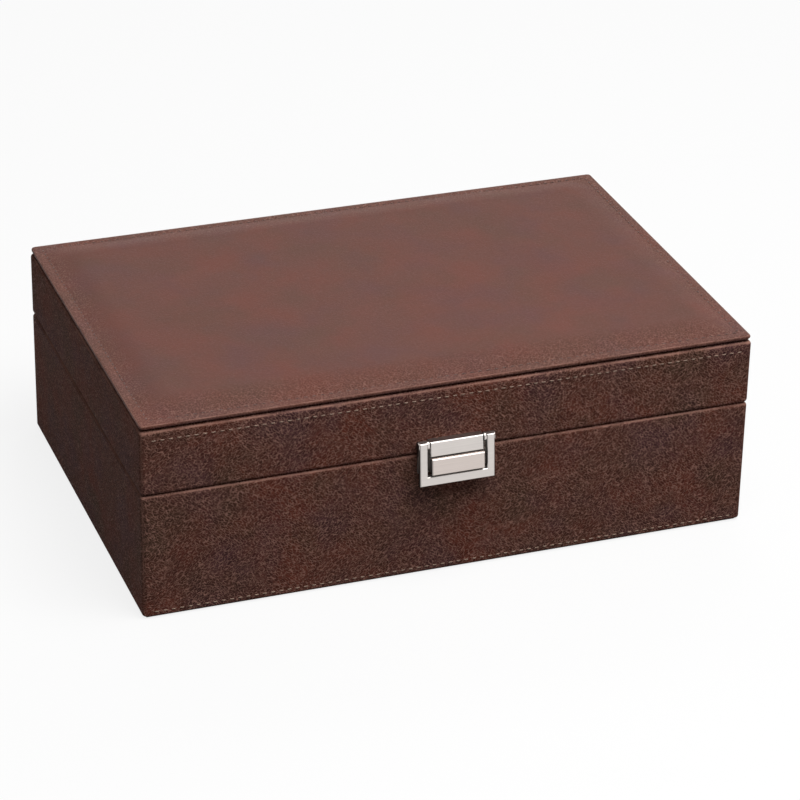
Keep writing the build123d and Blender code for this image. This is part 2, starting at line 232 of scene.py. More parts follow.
def mixed(tree, factor, first, second, blend="MIX"):
    """Mixes two colours."""
    node = put(tree, "ShaderNodeMix", {"data_type": "RGBA", "blend_type": blend})
    feed(tree, node.inputs[0], factor)
    feed(tree, node.inputs[6], first)
    feed(tree, node.inputs[7], second)
    return node.outputs[2]


def coordinate(tree, kind="Object"):
    """The point on the piece, in metres, or its normal."""
    return put(tree, "ShaderNodeTexCoord").outputs[kind]


def place(tree, scale=(1.0, 1.0, 1.0), turn=(0.0, 0.0, 0.0), kind="POINT"):
    """The point on the piece, turned and scaled. The kind TEXTURE draws patterns out along turned axes."""
    settings = {"vector_type": kind}
    point = coordinate(tree)
    return put(tree, "ShaderNodeMapping", settings, Vector=point, Rotation=turn, Scale=scale).outputs[0]


def cloud(tree, where, scale, detail=2.0, distortion=0.0):
    """Soft noise."""
    node = put(
        tree, "ShaderNodeTexNoise", Vector=where, Scale=scale, Detail=detail, Distortion=distortion
    )
    return node.outputs["Fac"]


def ridged(tree, value, width):
    """Thin lines where a noise crosses its middle."""
    away = sums(tree, "ABSOLUTE", sums(tree, "SUBTRACT", value, 0.5))
    return stretch(tree, away, 0.0, width, 1.0, 0.0)


def shader_group(name, inputs, outputs):
    """An empty node group from its inputs' defaults and its outputs' names, and its two end nodes."""
    tree = bpy.data.node_groups.new(name, "ShaderNodeTree")
    for label, default in inputs.items():
        kind = "NodeSocketColor" if isinstance(default, tuple) else "NodeSocketFloat"
        socket = tree.interface.new_socket(name=label, in_out="INPUT", socket_type=kind)
        socket.default_value = default
    for label in outputs:
        kind = "NodeSocketColor" if label == "Colour" else "NodeSocketFloat"
        tree.interface.new_socket(name=label, in_out="OUTPUT", socket_type=kind)
    return tree, tree.nodes.new("NodeGroupInput").outputs, tree.nodes.new("NodeGroupOutput").inputs


def rolled_edges(tree):
    """One where a surface turns over an upper or an upright edge, and nothing on flat faces."""
    facing = put(tree, "ShaderNodeSeparateXYZ", Vector=coordinate(tree, "Normal")).outputs
    sideways = sums(tree, "ADD", sums(tree, "ABSOLUTE", facing["X"]), sums(tree, "ABSOLUTE", facing["Y"]))
    upper = times(tree, sums(tree, "MAXIMUM", facing["Z"], 0.0), sideways)
    upright = sums(tree, "ABSOLUTE", times(tree, facing["X"], facing["Y"]))
    # Upright corners take a share of the painted highlight and wear that the upper rolls get.
    upright_wear_and_highlight = 0.85
    turned = stretch(tree, sums(tree, "MAXIMUM", upper, times(tree, upright, upright_wear_and_highlight)), 0.36, 0.50)
    broken = stretch(tree, cloud(tree, place(tree), 70.0, 3.0), 0.35, 0.62, 0.25, 1.0)
    return times(tree, turned, broken)


def hide_group():
    """Leather: a net of light veins that lean two ways, long wrinkles, lightened rolled edges and patches
    of colour. The veins, wrinkles and edges are partly wear and partly painted highlight, and the darker
    low cells are painted shade.
    """
    inputs = dict.fromkeys(("Brown", "Russet", "Umber", "Plum", "Rub"), GREY)
    inputs.update({
        "Pebble": 0.001, "Patch": 0.03, "Crease": 1.0, "Rubbing": 0.7, "Grain": 1.0, "Mottle": 1.0,
        "Edge wear": 0.5,
    })
    tree, given, out = shader_group("Hide", inputs, ("Colour", "Vein mask", "Height"))
    leans = (radians(-38), radians(40))
    lean_clouds, wrinkle_clouds, wrinkle_width = 48.0, 20.0, 0.010
    drawn_long = (2.8, 1.0, 1.0)
    vein_edges = (0.03, 0.13)
    pit_shade_tone, pit_shade_depth, wrinkle_rub_and_highlight = (0.014, 0.006, 0.005), 0.40, 0.30
    vein_height, cell_height, fine_height, wrinkle_height = 0.80, 0.30, 0.40, 0.60
    point = place(tree)
    pebbles = sums(tree, "DIVIDE", 1.0, given["Pebble"])
    drift = put(
        tree, "ShaderNodeTexNoise", Vector=point, Scale=times(tree, pebbles, 0.4), Detail=1.0
    ).outputs["Color"]
    leaning = stretch(tree, cloud(tree, point, lean_clouds, 1.0), 0.46, 0.54)
    veins = lit = None
    for lean in leans:
        slanted = place(tree, drawn_long, (0.30, lean, 0.30), "TEXTURE")
        where = vectors(tree, "MULTIPLY_ADD", drift, given["Pebble"], slanted)
        cells = {"Vector": where, "Scale": pebbles, "Randomness": 0.9}
        edges = put(tree, "ShaderNodeTexVoronoi", {"feature": "DISTANCE_TO_EDGE"}, **cells)
        lines = stretch(tree, edges.outputs["Distance"], *vein_edges, 1.0, 0.0)
        own = put(tree, "ShaderNodeTexVoronoi", {"feature": "F1"}, **cells).outputs["Color"]
        shade = stretch(tree, own, 0.25, 0.75)
        veins = lines if veins is None else between(tree, leaning, veins, lines)
        lit = shade if lit is None else between(tree, leaning, lit, shade)
    fine = cloud(tree, point, times(tree, pebbles, 0.9), 2.0)
    veins = times(tree, veins, stretch(tree, fine, 0.36, 0.58, 0.20, 1.0))
    wrinkles = ridged(tree, cloud(tree, point, wrinkle_clouds, 3.0, 1.0), wrinkle_width)
    wrinkles = times(tree, wrinkles, stretch(tree, cloud(tree, point, 9.0), 0.45, 0.65))

    patches = sums(tree, "DIVIDE", 1.0, given["Patch"])
    mottling = {
        "Russet": ((0.0, 0.0, 0.0), 3.0, 0.42, 0.66),
        "Umber": ((0.4, 0.9, 0.2), 3.0, 0.45, 0.70),
        "Plum": ((1.7, 0.3, 1.1), 2.0, 0.48, 0.70),
    }
    tone = given["Brown"]
    for name, (turn, detail, low, high) in mottling.items():
        patch = stretch(tree, cloud(tree, place(tree, turn=turn), patches, detail), low, high)
        tone = mixed(tree, times(tree, patch, given["Mottle"]), tone, given[name])
    # Painted shade in the grain's low cells: the lower a cell stands in the height, the darker it is
    # painted.
    shaded_pits = sums(tree, "SUBTRACT", 1.0, lit)
    tone = mixed(tree, times(tree, shaded_pits, times(tree, given["Grain"], pit_shade_depth)), tone, pit_shade_tone)
    # Veins lightened towards the Rub colour: partly worn grain ridges, partly painted highlight standing in
    # for lit ridges and glints.
    vein_mask = stretch(tree, veins, 0.05, 0.80)
    rubbed_and_glinting = times(tree, vein_mask, given["Rubbing"])
    tone = mixed(tree, rubbed_and_glinting, tone, given["Rub"])
    long_lines = times(tree, wrinkles, given["Crease"])
    # Long wrinkles lightened towards the Rub colour: partly creased wear, partly painted highlight along
    # the wrinkle lines.
    tone = mixed(tree, times(tree, long_lines, wrinkle_rub_and_highlight), tone, given["Rub"])
    # Rolled edges, mostly those facing up, lightened towards the Rub colour: partly worn leather, partly
    # painted highlight along the rolls.
    tone = mixed(tree, times(tree, rolled_edges(tree), given["Edge wear"]), tone, given["Rub"])

    height = sums(tree, "ADD", times(tree, veins, vein_height), times(tree, lit, cell_height))
    height = sums(tree, "ADD", height, times(tree, fine, fine_height))
    height = sums(tree, "SUBTRACT", height, times(tree, long_lines, wrinkle_height))
    feed(tree, out["Colour"], tone)
    feed(tree, out["Vein mask"], vein_mask)
    feed(tree, out["Height"], times(tree, height, given["Grain"]))
    return tree


def pile_group():
    """Short fibres: a mottled nap and a fine standing height."""
    tree, given, out = shader_group("Pile", {"Colour": GREY, "Tuft": 0.0004}, ("Colour", "Height"))
    point = place(tree)
    tufts = cloud(tree, point, sums(tree, "DIVIDE", 1.0, given["Tuft"]), 2.0)
    brushed = cloud(tree, place(tree, (1.0, 1.0, 2.0), (0.3, 0.5, 0.2)), 55.0, 3.0, 0.8)
    nap = stretch(tree, brushed, 0.35, 0.68, 0.80, 1.02)
    shade = sums(tree, "ADD", nap, times(tree, tufts, 0.16))
    feed(tree, out["Colour"], mixed(tree, 1.0, given["Colour"], shade, "MULTIPLY"))
    feed(tree, out["Height"], tufts)
    return tree


def brushed_group():
    """Brushed metal: long fine lines along X, a few soft smears, and painted shade on the sides, the
    undersides and the upward bevels.
    """
    outputs = ("Colour", "Roughness", "Height")
    tree, given, out = shader_group("Brushed", {"Colour": GREY, "Line": 0.0002}, outputs)
    side_shade, top_shade, under_shade = 0.16, 0.62, 0.25
    point = coordinate(tree)
    lines = sums(tree, "DIVIDE", 1.0, given["Line"])
    spread = put(tree, "ShaderNodeCombineXYZ", X=30.0, Y=lines, Z=lines).outputs[0]
    strokes = cloud(tree, vectors(tree, "MULTIPLY", point, spread), 1.0, 3.0)
    smears = cloud(tree, point, 160.0, 3.0, 0.5)
    shade = sums(tree, "ADD", stretch(tree, strokes, 0.3, 0.7, 0.90, 1.03), times(tree, smears, 0.05))
    # Painted shade: faces turned sideways or down are darkened and upward bevels dimmed, holding back the
    # white surround that they would reflect.
    facing = put(tree, "ShaderNodeSeparateXYZ", Vector=coordinate(tree, "Normal")).outputs
    sideways = stretch(tree, sums(tree, "ABSOLUTE", facing["X"]), 0.45, 0.90, 1.0, side_shade)
    upwards = stretch(tree, facing["Z"], 0.30, 0.60, 1.0, top_shade)
    downwards = stretch(tree, facing["Z"], -0.90, -0.50, under_shade, 1.0)
    painted_shade = times(tree, sideways, times(tree, upwards, downwards))
    shade = times(tree, shade, painted_shade)
    feed(tree, out["Colour"], mixed(tree, 1.0, given["Colour"], shade, "MULTIPLY"))
    rough = sums(tree, "ADD", stretch(tree, strokes, 0.25, 0.75, 0.24, 0.40), times(tree, smears, 0.08))
    feed(tree, out["Roughness"], rough)
    feed(tree, out["Height"], strokes)
    return tree


def effect(name, make):
    """A node group, built once."""
    return bpy.data.node_groups.get(name) or make()


def blank_tree(holder, output):
    """The emptied node tree of a material or a world, and the socket for its surface."""
    holder.use_nodes = True
    tree = holder.node_tree
    tree.nodes.clear()
    return tree, tree.nodes.new(output).inputs[0]


def new_material(name):
    """A material with one Principled shader, its tree and the shader."""
    material = bpy.data.materials.new(name)
    tree, surface = blank_tree(material, "ShaderNodeOutputMaterial")
    shader = tree.nodes.new("ShaderNodeBsdfPrincipled")
    tree.links.new(shader.outputs[0], surface)
    return material, tree, shader


def made_once(make):
    """Wraps a function that makes a named material, so that a second call gives the first one's."""
    def give(name, *values, **named):
        return bpy.data.materials.get(name) or make(name, *values, **named)

    return give


def use_group(tree, group, **values):
    """Places a node group with its values and returns its outputs."""
    return put(tree, "ShaderNodeGroup", {"node_tree": group}, **values).outputs


def set_shader(tree, shader, height, depth, **values):
    """Feeds the shader's inputs of these names, and its normal from a height of a depth in metres."""
    for name, value in values.items():
        feed(tree, shader.inputs[name.replace("_", " ")], value)
    bump = put(tree, "ShaderNodeBump", Height=height, Distance=depth, Strength=1.0)
    tree.links.new(bump.outputs[0], shader.inputs["Normal"])


@made_once
def leather_material(name, grain, crease, rubbing_and_glints, mottle, relief, rough, specular, edge_wear_and_highlight):
    """Pull-up leather. Grain and the lightening of the veins are numbers, or functions that add a mask to
    the tree. The lightening is partly wear and partly painted highlight.
    """
    look = bpy.context.scene.watch_box_leather
    material, tree, shader = new_material(name)
    grain = grain(tree) if callable(grain) else grain
    rubbing_and_glints = rubbing_and_glints(tree) if callable(rubbing_and_glints) else rubbing_and_glints
    hide = use_group(
        tree, effect("Hide", hide_group), Brown=look.brown, Russet=look.russet, Umber=look.umber,
        Plum=look.plum, Rub=look.rub_and_highlight, Pebble=look.pebble, Patch=look.patch, Crease=crease, Rubbing=rubbing_and_glints,
        Grain=grain, Mottle=mottle, Edge_wear=edge_wear_and_highlight,
    )
    low, high = rough
    roughness = stretch(tree, hide["Vein mask"], 0.0, 1.0, high, low)
    set_shader(
        tree, shader, hide["Height"], relief, Base_Color=hide["Colour"], Roughness=roughness,
        Specular_IOR_Level=specular,
    )
    return material


def case_leather():
    """Leather of the case, with its full grain."""
    return leather_material(
        "leather_case", grain=1.0, crease=0.9, rubbing_and_glints=0.72, mottle=1.0, relief=0.00030, rough=(0.50, 0.70),
        specular=0.012, edge_wear_and_highlight=0.80,
    )


def panel_border(tree):
    """One along the edges of the lid's panel, where the grain isn't stretched, and nothing inside."""
    _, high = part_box("lid_top_pad")
    side_start, side_full, front_start, front_full = 0.014, 0.003, 0.022, 0.005
    point = put(tree, "ShaderNodeSeparateXYZ", Vector=place(tree)).outputs
    across, along = (sums(tree, "ABSOLUTE", point[axis]) for axis in "XY")
    near_side = stretch(tree, across, high.x - side_start, high.x - side_full)
    near_front = stretch(tree, along, high.y - front_start, high.y - front_full)
    return sums(tree, "MAXIMUM", near_side, near_front)


def panel_leather():
    """Leather drawn smooth over the padding, with its grain left at the edges."""
    def grain(tree):
        return stretch(tree, panel_border(tree), 0.0, 1.0, 0.12, 0.50)

    # Veins lightened more near the edges, over a wider band at the front: partly grain left unstretched,
    # partly painted highlight along the front band.
    def rubbing_and_glints(tree):
        return stretch(tree, panel_border(tree), 0.0, 1.0, 0.02, 0.40)

    return leather_material(
        "leather_panel", grain=grain, crease=0.04, rubbing_and_glints=rubbing_and_glints, mottle=0.4, relief=0.00036,
        rough=(0.45, 0.55), specular=0.09, edge_wear_and_highlight=0.6,
    )


@made_once
def velvet_material(name, tone):
    """Short-pile velvet with a bright sheen at its edges."""
    material, tree, shader = new_material(name)
    pile = use_group(
        tree, effect("Pile", pile_group), Colour=tone, Tuft=bpy.context.scene.watch_box_velvet.pile
    )
    set_shader(
        tree, shader, pile["Height"], 0.00025, Base_Color=pile["Colour"], Roughness=0.95, Sheen_Weight=0.45,
        Sheen_Roughness=0.4,
    )
    return material


@made_once
def thread_material(name, tone):
    """Waxed thread with a fine twist."""
    material, tree, shader = new_material(name)
    twist = put(
        tree, "ShaderNodeTexWave", {"wave_type": "BANDS", "bands_direction": "DIAGONAL"},
        Vector=place(tree), Scale=560.0, Distortion=1.0,
    ).outputs["Fac"]
    groove_shade = 0.55
    shaded = mixed(tree, twist, tuple(groove_shade * value for value in tone), tone)
    set_shader(tree, shader, twist, 0.00012, Base_Color=shaded, Roughness=0.6, Sheen_Weight=0.2)
    return material


@made_once
def metal_material(name, tone):
    """Brushed and lacquered metal."""
    material, tree, shader = new_material(name)
    brushed = use_group(
        tree, effect("Brushed", brushed_group), Colour=tone, Line=bpy.context.scene.watch_box_metal.brush
    )
    set_shader(
        tree, shader, brushed["Height"], 0.00001, Base_Color=brushed["Colour"],
        Roughness=brushed["Roughness"], Metallic=1.0,
    )
    return material


def board_material():
    """Pressed fibreboard."""
    material, tree, shader = new_material("fibreboard")
    fibres = cloud(tree, place(tree, (1.0, 1.0, 4.0), (0.2, 0.1, 0.4)), 700.0, 4.0)
    chips = cloud(tree, place(tree), 220.0, 3.0, 0.5)
    tone = mixed(tree, stretch(tree, fibres, 0.3, 0.7), (0.36, 0.24, 0.14), (0.52, 0.38, 0.24))
    tone = mixed(tree, stretch(tree, chips, 0.55, 0.7, 0.0, 0.5), tone, (0.24, 0.15, 0.09))
    set_shader(tree, shader, fibres, 0.0001, Base_Color=tone, Roughness=0.85)
    return material


def felt_material():
    """Pressed felt: matted fibres in two shades."""
    material, tree, shader = new_material("felt")
    matted = cloud(tree, place(tree), 900.0, 5.0, 1.5)
    tone = mixed(tree, stretch(tree, matted, 0.3, 0.7), (0.022, 0.014, 0.012), (0.055, 0.038, 0.032))
    set_shader(tree, shader, matted, 0.0004, Base_Color=tone, Roughness=1.0, Sheen_Weight=0.3)
    return material


def coat_node(name, material):
    """Gives a carried-over piece its material."""
    mesh = frame["nodes"][name].data
    mesh.materials.clear()
    mesh.materials.append(material)


def in_scene(name, data):
    """A new object in the scene."""
    added = bpy.data.objects.new(name, data)
    bpy.context.scene.collection.objects.link(added)
    return added


def stand(name, mesh, body, middle=(0.0, 0.0, 0.0)):
    """Puts a mesh in the scene at a point, as a piece that rides on a body."""
    piece = in_scene(name, mesh)
    piece.location = middle
    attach(piece, body)
    return piece


def make_piece(name, vertices, faces, material, body, middle=(0.0, 0.0, 0.0)):
    """A new smooth mesh piece that rides on a body and stands at a point."""
    mesh = bpy.data.meshes.new(name)
    mesh.from_pydata(vertices, [], faces)
    mesh.validate()
    mesh.materials.append(material)
    for polygon in mesh.polygons:
        polygon.use_smooth = True
    mesh.update()
    return stand(name, mesh, body, middle)


def joined_up(node):
    """A working copy of a carried-over piece, its faces joined at their edges."""
    work = bmesh.new()
    work.from_mesh(frame["nodes"][node].data)
    bmesh.ops.remove_doubles(work, verts=work.verts, dist=1e-6)
    return work


def mesh_from(work, name):
    """Ends the work on a mesh."""
    mesh = bpy.data.meshes.new(name)
    work.to_mesh(mesh)
    work.free()
    return mesh


def solid_boxes(node):
    """The lowest and highest corners of each separate solid in a carried-over piece."""
    work = joined_up(node)
    boxes = []
    left = set(work.verts)
    while left:
        reached = [left.pop()]
        for vert in reached:
            for edge in vert.link_edges:
                other = edge.other_vert(vert)
                if other in left:
                    left.remove(other)
                    reached.append(other)
        low = Vector([min(vert.co[axis] for vert in reached) for axis in range(3)])
        high = Vector([max(vert.co[axis] for vert in reached) for axis in range(3)])
        boxes.append((low, high))
    work.free()
    return sorted(boxes, key=lambda corners: tuple(corners[0]))


def rim_distance(x, y, half_x, half_y, corner):
    """How far a point lies inside a rounded rectangle."""
    over_x = abs(x) - (half_x - corner)
    over_y = abs(y) - (half_y - corner)
    outside = hypot(max(over_x, 0.0), max(over_y, 0.0))
    return corner - outside - min(max(over_x, over_y), 0.0)


def rounded_corner(x, y, half_x, half_y, corner):
    """Draws the square corner of a grid in to a round one."""
    across = max(abs(x) - (half_x - corner), 0.0) / corner
    along = max(abs(y) - (half_y - corner), 0.0) / corner
    if across <= 0.0 or along <= 0.0:
        return x, y
    new_x = half_x - corner + corner * across * sqrt(1 - along * along / 2)
    new_y = half_y - corner + corner * along * sqrt(1 - across * across / 2)
    return (new_x if x > 0 else -new_x), (new_y if y > 0 else -new_y)


def grid_lines(half, roll, step):
    """Lines across a pad, close together over the rolled edges."""
    turns = 6
    edge = [roll * (1 - cos(pi / 2 * turn / turns)) for turn in range(turns)]
    inner = half - roll
    count = round(2 * inner / step)
    middle = [-inner + 2 * inner * line / count for line in range(count + 1)]
    return [-half + inset for inset in edge] + middle + [half - inset for inset in reversed(edge)]


def pad_mesh(half_x, half_y, corner, edge, roll, step, rise):
    """A closed pad with rolled edges. Its face rises by a function of the place and the rim's distance."""
    lines_x = grid_lines(half_x, roll, step)
    lines_y = grid_lines(half_y, roll, step)
    vertices = []
    for y in lines_y:
        for x in lines_x:
            place_x, place_y = rounded_corner(x, y, half_x, half_y, corner)
            inset = max(rim_distance(place_x, place_y, half_x, half_y, corner), 0.0)
            short = max(roll - inset, 0.0)
            z = edge - roll + sqrt(max(roll * roll - short * short, 0.0))
            vertices.append((place_x, place_y, z + rise(place_x, place_y, inset)))
    wide, deep = len(lines_x), len(lines_y)
    faces = []
    for row in range(deep - 1):
        for column in range(wide - 1):
            first = row * wide + column
            faces.append((first, first + 1, first + wide + 1, first + wide))
    rim = list(range(wide))
    rim += [row * wide + wide - 1 for row in range(1, deep)]
    rim += [(deep - 1) * wide + column for column in range(wide - 2, -1, -1)]
    rim += [row * wide for row in range(deep - 2, 0, -1)]

    # Down the side, round the lower roll, and across the flat underside
    last = rim
    turns = 4
    for turn in range(turns + 1):
        angle = pi / 2 * turn / turns
        inset = roll * (1 - cos(angle))
        ring = []
        for index in rim:
            x, y, _ = vertices[index]
            scale_x = (half_x - inset) / half_x
            scale_y = (half_y - inset) / half_y
            ring.append(len(vertices))
            vertices.append((x * scale_x, y * scale_y, roll * (1 - sin(angle))))
        for here in range(len(rim)):
            after = (here + 1) % len(rim)
            faces.append((last[after], last[here], ring[here], ring[after]))
        last = ring
    faces.append(tuple(reversed(last)))
    return vertices, faces


def join_rings(faces, low, high, count):
    """Faces between two rings of points, each given by its first point."""
    for point in range(count):
        after = (point + 1) % count
        faces.append((low + point, low + after, high + after, high + point))


def add_stitch(vertices, faces, start, finish, outward, radius, sunk):
    """One stitch: a short bowed thread whose ends dive into the leather."""
    rings = 8
    sides = 7
    bow_power, proud, thin_end = 0.55, 0.55, 0.72
    along = (finish - start).normalized()
    across = outward.cross(along)
    first = len(vertices)
    for ring in range(rings + 1):
        part = ring / rings
        bow = sin(pi * part) ** bow_power
        middle = start.lerp(finish, part) + outward * ((radius * proud + sunk) * bow - sunk)
        thick = radius * (thin_end + (1 - thin_end) * sin(pi * part))
        for side in range(sides):
            angle = 2 * pi * side / sides
            vertices.append(middle + (outward * cos(angle) + across * sin(angle)) * thick)
    for ring in range(rings):
        low = first + ring * sides
        join_rings(faces, low, low + sides, sides)
    faces.append(tuple(first + side for side in reversed(range(sides))))
    faces.append(tuple(first + rings * sides + side for side in range(sides)))


def seam_holes(start, finish, pitch):
    """Holes along a straight seam, as near the wanted pitch as fits."""
    count = max(1, round((finish - start).length / pitch))
    return [start.lerp(finish, hole / count) for hole in range(count + 1)]


def stitch_line(vertices, faces, start, finish, outward, thread):
    """A row of stitches along a straight seam."""
    holes = seam_holes(start, finish, thread.pitch)
    for here, after in zip(holes, holes[1:]):
        back_off = (after - here).normalized() * (thread.gap / 2)
        add_stitch(vertices, faces, here + back_off, after - back_off, outward, thread.radius, thread.sunk)


def swell(inset, shoulder, ease=1.15):
    """How far a padded face has risen, from nothing at its border to one past its shoulder."""
    past = min(max(inset / shoulder, 0.0), 1.0)
    return sin(pi / 2 * past) ** ease


def panel_face(half_x, half_y, crown, sizes, pitch):
    """How the panel's face stands over its edge: stitched border, crown, and a slow sway."""
    border = sizes.seam_inset
    pucker_width, pucker_mean, pucker_wave = 0.0010, 0.62, 0.38
    slow, quick, quick_share = 22, 55, 0.5

    def rise(x, y, inset):
        height = crown * swell(half_x - abs(x) - border, sizes.shoulder)
        height *= swell(half_y - abs(y) - border, sizes.shoulder)
        along, reach = (x, half_x - border) if half_y - abs(y) < half_x - abs(x) else (y, half_y - border)
        holes = max(1, round(2 * reach / pitch))
        phase = (along + reach) / (2 * reach) * holes
        pull = exp(-((inset - border) / pucker_width) ** 2)
        pull *= pucker_mean + pucker_wave * cos(2 * pi * phase)
        height -= sizes.pucker * pull
        sway = noise.noise(Vector((x * slow, y * slow, 0.3)))
        sway += quick_share * noise.noise(Vector((x * quick, y * quick, 2.7)))
        return height + sizes.sway * sway * min(inset / border, 1.0)

    return rise


class WATCHBOX_OT_case_leather(Operator):
    """Leather of the case, carried over from the frame"""

    bl_idname = "watch_box.case_leather"
    bl_label = "Case leather"

    def execute(self, context):
        for name in ("base_leather", "lid_leather"):
            coat_node(name, case_leather())
        return {"FINISHED"}


class WATCHBOX_OT_boards(Operator):
    """Fibreboards under the leather, and the felt under the base"""

    bl_idname = "watch_box.boards"
    bl_label = "Boards and felt"

    def execute(self, context):
        board = board_material()
        for case in ("base", "lid"):
            for side in SIDES:
                coat_node(f"{case}_{side}_board", board)
        for name in ("base_bottom_board", "lid_top_board", "lid_panel_board"):
            coat_node(name, board)
        coat_node("underside_felt", felt_material())
        return {"FINISHED"}


class WATCHBOX_OT_top_panel(Operator):
    """Padded and stitched panel on the lid"""

    bl_idname = "watch_box.top_panel"
    bl_label = "Top panel"

    def execute(self, context):
        sizes = context.scene.watch_box_panel
        thread = context.scene.watch_box_thread
        low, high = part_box("lid_top_pad")
        half_x, half_y, seat = high.x, high.y, low.z
        face = panel_face(half_x, half_y, high.z - seat - sizes.edge, sizes, thread.pitch)
        vertices, faces = pad_mesh(half_x, half_y, sizes.corner, sizes.edge, sizes.roll, sizes.step, face)
        panel = make_piece(
            "top_panel", vertices, faces, panel_leather(), "lid", (0.0, 0.0, seat)
        )
        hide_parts("lid_top_pad")

        run_x = half_x - sizes.seam_inset
        run_y = half_y - sizes.seam_inset
        corners = [
            Vector((sign_x * run_x, sign_y * run_y, seat + sizes.edge - sizes.pucker * 0.5))
            for sign_x, sign_y in ((-1, -1), (1, -1), (1, 1), (-1, 1))
        ]
        vertices, faces = [], []
        for here, after in zip(corners, corners[1:] + corners[:1]):
            stitch_line(vertices, faces, here, after, Vector((0, 0, 1)), thread)
        dark = thread_material("thread_dark", thread.dark)
        make_piece("top_panel_stitches", vertices, faces, dark, "lid")
        return {"FINISHED"}


class WATCHBOX_OT_front_stitches(Operator):
    """Stitches along the top of the lid's front and the foot of the base's front"""

    bl_idname = "watch_box.front_stitches"
    bl_label = "Front stitches"

    def execute(self, context):
        thread = context.scene.watch_box_thread
        base_low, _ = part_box("base_leather")
        lid_low, lid_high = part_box("lid_leather")
        reach = lid_high.x - thread.end
        rows = {"base": base_low.z + thread.foot_rise, "lid": lid_high.z - thread.lid_drop}
        tan = thread_material("thread_tan", thread.tan)
        for body, height in rows.items():
            vertices, faces = [], []
            start = Vector((-reach, lid_low.y, height))
            finish = Vector((reach, lid_low.y, height))
            stitch_line(vertices, faces, start, finish, Vector((0, -1, 0)), thread)
            make_piece(f"{body}_front_stitches", vertices, faces, tan, body)
        return {"FINISHED"}


def wrapped_copy(node, bevel, material, body):
    """A lining board with the soft edges of velvet folded round it, in place of the sharp one."""
    work = joined_up(node)
    bmesh.ops.dissolve_limit(work, angle_limit=radians(2), verts=work.verts, edges=work.edges)
    sharp = [edge for edge in work.edges if edge.is_manifold and edge.calc_face_angle(0.0) > radians(40)]
    bmesh.ops.bevel(
        work, geom=sharp, offset=bevel, segments=3, profile=0.5, affect="EDGES", clamp_overlap=True
    )
    mesh = mesh_from(work, f"{node}_velvet")
    mesh.materials.clear()
    mesh.materials.append(material)
    for polygon in mesh.polygons:
        polygon.use_smooth = True
        polygon.material_index = 0
    piece = stand(f"{node}_velvet", mesh, body)
    weighted = piece.modifiers.new("Weighted normals", "WEIGHTED_NORMAL")
    weighted.keep_sharp = True
    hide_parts(node)


class WATCHBOX_OT_linings(Operator):
    """Velvet linings and the partition"""

    bl_idname = "watch_box.linings"
    bl_label = "Linings and partition"

    def execute(self, context):
        look = context.scene.watch_box_velvet
        velvet = velvet_material("velvet_lining", look.lining)
        bodies = frame["record"]["behaviour"]["bodies"]
        for body in ("base", "lid"):
            for node in sorted(bodies[body]):
                if node.endswith(("lining", "divider")) or "cross_divider" in node:
                    wrapped_copy(node, look.bevel, velvet, body)
        return {"FINISHED"}


class WATCHBOX_OT_ceiling_pad(Operator):
    """Padded velvet ceiling inside the lid"""

    bl_idname = "watch_box.ceiling_pad"
    bl_label = "Ceiling pad"

    edge: length("Edge", "Thickness at the edge", 0.0016)
    roll: length("Roll", "Radius of the rolled edge", 0.00075)
    corner: length("Corner", "Radius of the corners", 0.0014)
    border: length("Border", "Flat border round the crown", 0.003)
    shoulder: length("Shoulder", "Over which the crown rises", 0.014)
    step: length("Step", "Spacing of the mesh", 0.0025)
    sway: length("Sway", "How far the velvet wanders from flat", 0.0002)

    def execute(self, context):
        low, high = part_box("lid_ceiling_pad")
        crown = high.z - low.z - self.edge

        def rise(x, y, inset):
            sway = noise.noise(Vector((x * 30, y * 30, 7.1))) * min(inset / self.border, 1.0)
            return crown * swell(inset - self.border, self.shoulder, 1.2) + self.sway * sway

        vertices, faces = pad_mesh(high.x, high.y, self.corner, self.edge, self.roll, self.step, rise)
        hung = [(x, -y, -z) for x, y, z in vertices]
        velvet = velvet_material("velvet_lining", context.scene.watch_box_velvet.lining)
        pad = make_piece("ceiling_pad", hung, faces, velvet, "lid", (0.0, 0.0, high.z))
        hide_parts("lid_ceiling_pad")
        return {"FINISHED"}


def outline_point(turn, half_y, half_z, corner):
    """A point of a rounded rectangle in YZ, at a share of the way round."""
    straight_y = 2 * (half_y - corner)
    straight_z = 2 * (half_z - corner)
    quarter = pi / 2 * corner
    way = turn * (2 * straight_y + 2 * straight_z + 4 * quarter)
    y, z, heading = -straight_y / 2, -half_z, 0.0
    for run in (straight_y, straight_z, straight_y, straight_z):
        if way <= run:
            return y + way * cos(heading), z + way * sin(heading)
        y, z, way = y + run * cos(heading), z + run * sin(heading), way - run
        centre_y = y - corner * sin(heading)
        centre_z = z + corner * cos(heading)
        swept = min(way / corner, pi / 2)
        angle = heading - pi / 2 + swept
        if way <= quarter:
            return centre_y + corner * cos(angle), centre_z + corner * sin(angle)
        y, z = centre_y + corner * cos(angle), centre_z + corner * sin(angle)
        way -= quarter
        heading += pi / 2
    return -straight_y / 2, -half_z


